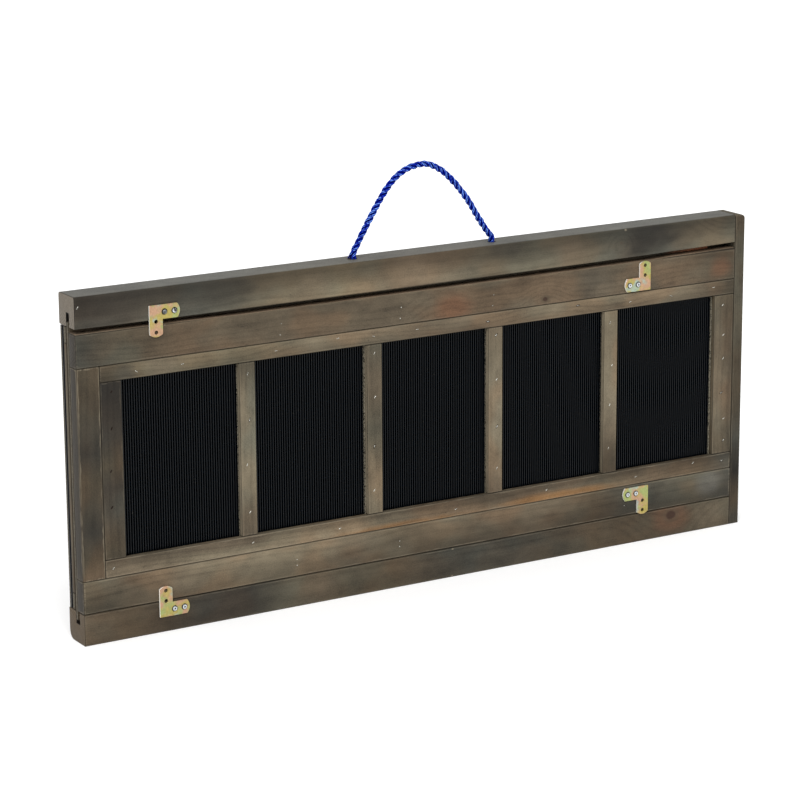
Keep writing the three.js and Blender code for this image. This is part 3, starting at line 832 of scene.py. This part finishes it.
def make_panel_timber():
    # Its top face, in shade under the top rail, is painted paler in the pine tone: painted light.
    make_board(
        "panel_top_rail", "panel_wood", seed=4, across=(1.03, 0.96), pith=(20, 40), end="dark",
        up=("pine", 0.4), wear=0.5, chips=[(109, 357, 1.5)],
        stops={
            8: "slate", 60: "moss", 130: "brown", 340: "brown", 480: "tan", 550: "brown", 620: "tan",
            690: "brown", 800: "tan", 890: "umber",
        },
        knots=[((616, 326), 3.6, 34, 2.5, 0.6, 0.75), ((470, 338), 9, 40, 1.4, 0, 0)],
        patches=[
            ((486, 331), (32, 24), "rust", 0.75), ((878, 335), (24, 18), "rust", 0.6),
            ((690, 340), (35, 26), "slate", 0.45), ((700, 326), (21, 16), "wheat", 0.5),
        ],
        bow=[(-5, 0.6), (100, 0.5), (220, -0.7), (640, -0.8), (760, -0.4), (820, 1), (920, 2)],
        bow_lower=False,
    )
    make_board(
        "panel_bottom_rail", "panel_wood", seed=5, across=(0.84, 1.14), pith=(-14, 46), end="dark",
        up=("brown", 0.9), wear=0.9,
        stops={
            8: "moss", 60: "brown", 180: "wheat", 300: "wheat", 350: "tan", 400: "moss", 560: "brown",
            620: "brown", 690: "umber", 760: "slate", 840: "moss", 890: "slate",
        },
        patches=[
            ((408, 46), (29, 22), "moss", 0.6), ((866, 62), (27, 20), "dust", 0.4),
            ((130, 60), (32, 24), "wheat", 0.4),
        ],
    )
    make_board(
        "panel_left_stile", "panel_wood", "Z", seed=6, across=(0.96, 1.02), pith=(18, 44),
        left=("dark", 0.9), wear=1.3,
        stops={80: "brown", 100: "umber", 130: "dark", 190: "umber", 220: "dark", 300: "umber"},
    )
    make_board("panel_right_stile", "panel_wood", "Z", seed=7, stops={80: "umber", 300: "moss"})


CROSS_TONES = [
    {115: "tan", 150: "lichen", 250: "lichen", 300: "moss"},
    {115: "wheat", 150: "wheat", 200: "moss", 240: "brown", 265: "tan", 300: "moss"},
    {110: "tan", 150: "wheat", 180: "pale", 235: "pale", 265: "wheat", 300: "tan"},
    {110: "umber", 145: "tan", 205: "pale", 250: "wheat", 300: "wheat"},
]


def make_panel_slats():
    make_board(
        "panel_top_slat", "slat_wood", seed=11, across=(0.92, 1.08), pith=(40, 50),
        stops={
            40: "umber", 85: "olive", 220: "olive", 290: "wheat", 500: "tan", 640: "wheat",
            710: "wheat", 780: "wheat", 850: "tan", 892: "umber",
        },
        patches=[((105, 315), (35, 26), "wheat", 0.6), ((60, 306), (19, 14), "slate", 0.6)],
    )
    make_board(
        "panel_bottom_slat", "slat_wood", seed=12, across=(1.18, 0.84), pith=(40, 54), wear=1.0,
        stops={
            40: "tan", 85: "tan", 150: "wheat", 350: "wheat", 430: "brown", 510: "brown", 570: "brown",
            640: "tan", 710: "moss", 780: "brown", 850: "umber", 892: "slate",
        },
        patches=[
            ((420, 71), (150, 11), "amber", 0.9), ((640, 77), (110, 10), "amber", 0.85),
            ((550, 92), (60, 12), "umber", 0.7), ((180, 92), (70, 10), "tan", 0.6),
        ],
    )
    make_board(
        "panel_left_slat", "slat_wood", "Z", seed=13,
        stops={110: "umber", 150: "slate", 180: "dark", 205: "umber", 235: "dark", 280: "soot"},
    )
    make_board(
        "panel_right_slat", "slat_wood", "Z", seed=14, across=(1.1, 0.9),
        stops={110: "moss", 175: "tan", 240: "brown", 300: "moss"},
    )
    for i, stops in enumerate(CROSS_TONES):
        node, pith = f"panel_cross_slat_{i + 1}", (24 - 9 * i, 50)
        # Their left sides are painted paler in the bare tone: paler bare wood, and painted light from the
        # left.
        make_board(node, "slat_wood", "Z", stops=stops, seed=15 + i, pith=pith, left=("bare", 0.55))


def make_floor_slats():
    lying = {60: "umber", 300: "brown", 600: "moss", 850: "umber"}
    make_board("floor_top_slat", "slat_wood", stops=lying, seed=21)
    make_board("floor_bottom_slat", "slat_wood", stops=lying, seed=22)
    standing = {60: "umber", 140: "brown", 230: "moss", 330: "brown"}
    names = ["left_slat", "right_slat", *[f"cross_slat_{i}" for i in range(1, 5)]]
    for i, name in enumerate(names):
        make_board(f"floor_{name}", "slat_wood", "Z", stops=standing, seed=23 + i)


def make_plywood():
    sheets = {
        "panel_tongue_board": {0: "umber", 800: "umber", 842: "raw", 875: "raw"},
        "panel_deck_board": {0: "moss", 900: "brown"},
        "floor_board": {0: "moss", 250: "brown", 500: "moss", 700: "umber", 900: "brown"},
    }
    for i, (node, stops) in enumerate(sheets.items()):
        look = {"pith": (150, 26), "spacing": 5.5, "ply": 1.5, "wear": 0.7}
        make_board(node, "plywood", rounding=0.3, stops=stops, seed=31 + i, **look)


# ---- Ribbed mats ----
RIB = {"pitch": 3.05 * MM, "high": 3.2 * MM, "rows": 14, "waver": 0.08 * MM}
# One rib across: (share of the pitch, share of its height).
RIB_RISE = [(0.27, 0), (0.32, 0.8), (0.37, 0.97)]
RIB_SECTION = [(0, 0), *RIB_RISE, (0.5, 1), *[(1 - x, rise) for x, rise in reversed(RIB_RISE)]]


def ribbed_mesh(name, low, high):
    """A closed sheet with upright ribs on its front; low and high are its box's corners."""
    ribs = int((high.x - low.x) / RIB["pitch"])
    pitch = (high.x - low.x) / ribs
    front = [
        (low.x + (i + x) * pitch, low.y + RIB["high"] * (1 - rise))
        for i in range(ribs)
        for x, rise in RIB_SECTION
    ]
    outline = [*front, (high.x, low.y + RIB["high"]), (high.x, high.y), (low.x, high.y)]
    around, rows = len(outline), RIB["rows"]
    points, faces = [], []
    for k in range(rows + 1):
        z = low.z + (high.z - low.z) * k / rows
        for x, y in outline:
            sway = noise.noise(Vector((x / 0.02, 0, z / 0.04))) * RIB["waver"] if y < high.y else 0
            inside = low.x < x < high.x
            points.append((x + sway if inside else x, max(low.y, y + sway / 2), z))
    for i in range(around):
        after = (i + 1) % around
        for row in range(0, rows * around, around):
            faces.append((row + i, row + after, row + after + around, row + i + around))
    faces.append(tuple(reversed(range(around))))
    faces.append(tuple(range(rows * around, (rows + 1) * around)))
    mesh = mesh_from(name, points, faces)
    smooth(mesh, 50)
    return mesh


def make_mat(prefix):
    node = f"{prefix}_mat"
    slats = [f"{prefix}_cross_slat_{i}" for i in range(1, 5)] + [f"{prefix}_right_slat"]
    material = rubber(f"{node}_rubber", [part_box(slat)[0].x for slat in slats])
    piece = new_piece(f"{node}_rubber", ribbed_mesh(node, *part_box(node)))
    dress(piece, body_of(node), "ribbed_rubber", material, node)


# ---- Corner plates, screws, staples and pins ----
def screw_middles(plate):
    """Where a plate's two screws are, as (x, z)."""
    boxes = [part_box(f"{plate}_screw_{i}") for i in (1, 2)]
    return [((low.x + high.x) / 2, (low.z + high.z) / 2) for low, high in boxes]


def hole_middles(plate):
    """Where a plate's two empty holes are: in its upright arm, as its screws are in its level one."""
    low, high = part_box(plate)
    screws = screw_middles(plate)
    middle = (low + high) / 2
    corner_x = low.x if screws[0][0] + screws[1][0] > 2 * middle.x else high.x
    corner_z = low.z if screws[0][1] < middle.z else high.z
    side = math.copysign(1, middle.x - corner_x)
    rise = math.copysign(1, middle.z - corner_z)
    from_corner = [(abs(x - corner_x), abs(z - corner_z)) for x, z in screws]
    return [(corner_x + side * up, corner_z + rise * along) for along, up in from_corner]


def make_plate(node):
    material = yellow_zinc(f"{node}_zinc", screw_middles(node), hole_middles(node))
    piece = eased_copy(node, f"{node}_zinc", 0.55, 3, 50)
    smooth(piece.data)
    dress(piece, body_of(node), "yellow_zinc", material, node)


def cross_cutter(across, deep, angle):
    """Two tapered bars across each other, in mm, their tops at the origin."""
    meshes = []
    for turn in (0, math.pi / 2):
        shape = bmesh.new()
        bmesh.ops.create_cube(shape, size=1)
        for vert in shape.verts:
            top = vert.co.z > 0
            vert.co.x *= across if top else across * 0.35
            vert.co.y *= 0.85 if top else 0.5
            vert.co.z = 0.5 if top else -deep
        bmesh.ops.rotate(shape, verts=shape.verts, matrix=Matrix.Rotation(angle + turn, 3, "Z"))
        meshes.append(mesh_of(shape, "cutter"))
    return meshes


def make_screw(node, profile, head_top, toward, seat, recess, material):
    """A turned screw with a cross recess, its axis along toward and its head's top at seat.

    profile and head_top, the height of the head's top in it, are in mm. recess is how far the
    cross reaches across and how deep it is, in mm.
    """
    name = f"{node}_steel"
    angle = random.Random(name).uniform(0, math.pi / 2)
    blank = new_piece(name, mesh_from(name, *turned(profile)))
    cutters = []
    for cutter_mesh in cross_cutter(*recess, angle):
        cutter_mesh.transform(Matrix.Translation((0, 0, head_top)))
        cutter = new_piece("cutter", cutter_mesh)
        cutters.append(cutter)
        boolean = blank.modifiers.new("recess", "BOOLEAN")
        boolean.operation = "DIFFERENCE"
        boolean.solver = "EXACT"
        boolean.object = cutter
    with_modifiers(blank)
    for cutter in cutters:
        bpy.data.objects.remove(cutter)
    turn = Vector((0, 0, 1)).rotation_difference(Vector(toward)).to_matrix().to_4x4()
    down = Matrix.Translation((0, 0, -head_top))
    blank.data.transform(Matrix.Translation(seat) @ turn @ Matrix.Scale(MM, 4) @ down)
    smooth(blank.data, 35)
    return dress(blank, body_of(node), "screw_steel", material, node)


def thread(radius, start, end, pitch=1.3):
    """A shank's profile from its point up: ridges a pitch apart."""
    profile = [(0, start), (radius * 0.5, start + 1.2)]
    height = start + 1.8
    while height < end - pitch:
        profile += [(radius * 0.74, height), (radius, height + pitch / 2)]
        height += pitch
    return profile + [(radius * 0.8, end)]


# The pan head's outline from its rim's foot to the middle of its crown: (radius, height) in mm.
PAN_RIM = [(3.1, 0), (3.3, 0.12), (3.28, 0.32), (3.05, 0.64)]
PAN_HEAD = [*PAN_RIM, (2.6, 0.88), (1.8, 1.04), (1, 1.1), (0, 1.1)]


def make_plate_screws(plate):
    tarnish = 0.2 if plate == "rail_plate_top" else 0
    middles = screw_middles(plate)
    zinc = ((168, 172, 172), (236, 240, 242))
    material = bright_metal(f"{plate}_screws", 0.9, *zinc, middles, tarnish)
    profile = thread(1.8, -11, 0) + PAN_HEAD
    for i, (x, z) in enumerate(middles):
        node = f"{plate}_screw_{i + 1}"
        seat = Vector((x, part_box(node)[0].y, z))
        make_screw(node, profile, PAN_HEAD[-1][1], (0, -1, 0), seat, (3.0, 1.4), material)


def make_stile_screws(material):
    profile = thread(2.1, -38, -3.2, 1.8) + [(2.1, -3.2), (4.1, -0.2), (4.2, 0), (0, 0)]
    for place in ("top_front", "top_back", "bottom_front", "bottom_back"):
        node = f"stile_screw_{place}"
        low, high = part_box(node)
        seat = Vector((high.x, (low.y + high.y) / 2, (low.z + high.z) / 2))
        make_screw(node, profile, 0, (1, 0, 0), seat, (4.6, 1.6), material)


STAPLE = {"crown": 3.6 * MM, "wire": 0.5 * MM, "leg": 3 * MM, "proud": 0.25 * MM}


def staple(x, front, z, angle):
    """A staple driven in from the front, its crown at an angle to the level."""
    along = Vector((math.cos(angle), 0, math.sin(angle)))
    into = Vector((0, 1, 0))
    middle = Vector((x, front - STAPLE["proud"] + STAPLE["wire"], z))
    half, bend = STAPLE["crown"] / 2, STAPLE["wire"]
    side = [(half, STAPLE["leg"]), (half, bend), (half - bend / 2, bend / 4), (half - bend * 1.5, 0)]
    outline = [(-a, depth) for a, depth in side] + [(a, depth) for a, depth in reversed(side)]
    return tube([middle + along * a + into * depth for a, depth in outline], STAPLE["wire"], 8)


def dent(x, front, z, angle, long=6.0 * MM, wide=1.9 * MM):
    """A shallow dark lens round a staple, hardly proud of the wood, that paints the dent's shade."""
    along = Vector((math.cos(angle), 0, math.sin(angle)))
    other = Vector((-math.sin(angle), 0, math.cos(angle)))
    points, faces = turned([(0, -1), (0.8, -0.6), (1, 0), (0.8, 0.6), (0, 1)], 16)
    out = Vector((0, -0.05 * MM, 0))
    middle = Vector((x, front, z))
    placed = [middle + along * p.x * long / 2 + other * p.y * wide / 2 + out * p.z for p in points]
    return placed, faces, [0.0] * len(placed)


def pin(x, front, z):
    """The small domed head of a brad."""
    points, faces = turned([(0, -3), (0.4, -2.6), (0.4, -0.2), (0.65, 0), (0.45, 0.15), (0, 0.22)], 14)
    placed = [Vector((x + p.x * MM, front - p.z * MM, z + p.y * MM)) for p in points]
    return placed, faces, [0.0] * len(placed)


# How far each staple in the long slats is from the ramp's left end, in mm, and its angle's range.
LONG_SLAT_STAPLES = {
    "top": ((73, 130, 249, 330, 378, 437, 535, 664, 741, 803, 868), (-40, 15)),
    "bottom": ((38, 215, 330, 490, 620, 753, 841, 886), (20, 50)),
}


def down_slat(node, chance, count, first, step, stray, aside):
    """Places (x, z) down an upright slat, step mm apart and each up to stray mm off."""
    low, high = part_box(node)
    for k in range(count):
        x = (low.x + high.x) / 2 + chance.uniform(*aside) * MM
        yield x, high.z - (first + step * k + chance.uniform(-stray, stray)) * MM


def slat_nails(prefix, chance):
    """Staples (x, z, degrees from level) in one set of slats, and dents with no staple in sight."""
    shown = []
    for number in range(1, 5):
        for x, z in down_slat(f"{prefix}_cross_slat_{number}", chance, 4, 12, 54, 3, (-2, 2.5)):
            shown.append((x, z, chance.uniform(45, 75)))
    for x, z in down_slat(f"{prefix}_right_slat", chance, 6, 10, 36, 8, (-2, 5)):
        shown.append((x, z, chance.uniform(25, 55)))
    for side, (distances, angles) in LONG_SLAT_STAPLES.items():
        low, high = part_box(f"{prefix}_{side}_slat")
        for distance in distances:
            z = (low.z + high.z) / 2 + chance.uniform(-2, 4) * MM
            shown.append((LEFT + distance * MM, z, chance.uniform(*angles)))
    return shown, list(down_slat(f"{prefix}_left_slat", chance, 4, 9, 45, 4, (-3, 3)))


def make_fastenings(prefix, chance, extra_staples, pins, steel, dark):
    """The staples and brads in one body's slats and rails, and the dents round some of them."""
    body, front = body_of(prefix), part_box(f"{prefix}_cross_slat_1")[0].y
    shown, sunk = slat_nails(prefix, chance)
    staples, dents = [], []
    for x, y, z, degrees in [(x, front, z, degrees) for x, z, degrees in shown] + extra_staples:
        angle = math.radians(degrees)
        staples.append(staple(x, y, z, angle))
        if chance.random() < 0.3:
            dents.append(dent(x, y, z, angle))
    dents += [dent(x, front, z, math.radians(chance.uniform(40, 75)), 4.5 * MM) for x, z in sunk]
    heads = [pin(*place) for place in pins]
    dress(tubes_piece(f"{body}_staples", staples + heads), body, "screw_steel", steel)
    dress(tubes_piece(f"{body}_staple_dents", dents), body, "slat_wood", dark)


def make_all_fastenings(steel):
    dark = dent_shade_wood()
    chance = random.Random(5)
    rail_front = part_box("panel_top_rail")[0].y
    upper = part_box("panel_top_rail")[1].z
    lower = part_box("panel_bottom_rail")[0].z
    pins = []
    for distance in (256, 415, 543):
        x = LEFT + distance * MM
        pins += [(x, rail_front, upper - 17 * MM), (x - 1.5 * MM, rail_front, upper - 30 * MM)]
    for distance in (272, 411, 736):
        x = LEFT + distance * MM
        pins += [(x, rail_front, lower + 20 * MM), (x, rail_front, lower + 13 * MM)]
    make_fastenings("panel", chance, [], pins, steel, dark)
    rail_end = [(LEFT + 4 * MM, TIMBER_FRONT, RAIL_TOP - 12 * MM, 55)]
    make_fastenings("floor", chance, rail_end, [], steel, dark)


# ---- Floor and light ----
def make_stage():
    side = 30.0
    corners = [(-side, -side, 0), (side, -side, 0), (side, side, 0), (-side, side, 0)]
    floor = new_piece("floor", mesh_from("floor", corners, [(0, 1, 2, 3)]))
    nodes = Nodes("pale_floor")
    floor.data.materials.append(nodes.finish(linear((253, 253, 253)), 0.9, Specular_IOR_Level=0.0))


def make_light():
    world = bpy.data.worlds.new("studio")
    bpy.context.scene.world = world
    world.use_nodes = True
    background = world.node_tree.nodes["Background"]
    background.inputs["Color"].default_value = (1, 1, 1, 1)
    background.inputs["Strength"].default_value = 0.78
    lamp = bpy.data.lights.new("key", "SUN")
    lamp.energy = 2.3
    lamp.angle = math.radians(50)
    key = bpy.data.objects.new("key", lamp)
    key.rotation_mode = "QUATERNION"
    key.rotation_quaternion = Vector((0.45, 0.75, -0.95)).to_track_quat("-Z", "Y")
    bpy.context.collection.objects.link(key)
    bpy.context.scene.view_settings.view_transform = "Standard"


make_camera()
make_rope()
make_frame_timber()
make_panel_timber()
make_panel_slats()
make_floor_slats()
make_plywood()
make_mat("panel")
make_mat("floor")
for plate in ("rail_plate_top", "rail_plate_bottom", "panel_plate_top", "panel_plate_bottom"):
    make_plate(plate)
    make_plate_screws(plate)
steel = bright_metal("bright_steel", 1.1, (120, 118, 110), (205, 204, 196))
make_stile_screws(steel)
make_all_fastenings(steel)
make_stage()
make_light()
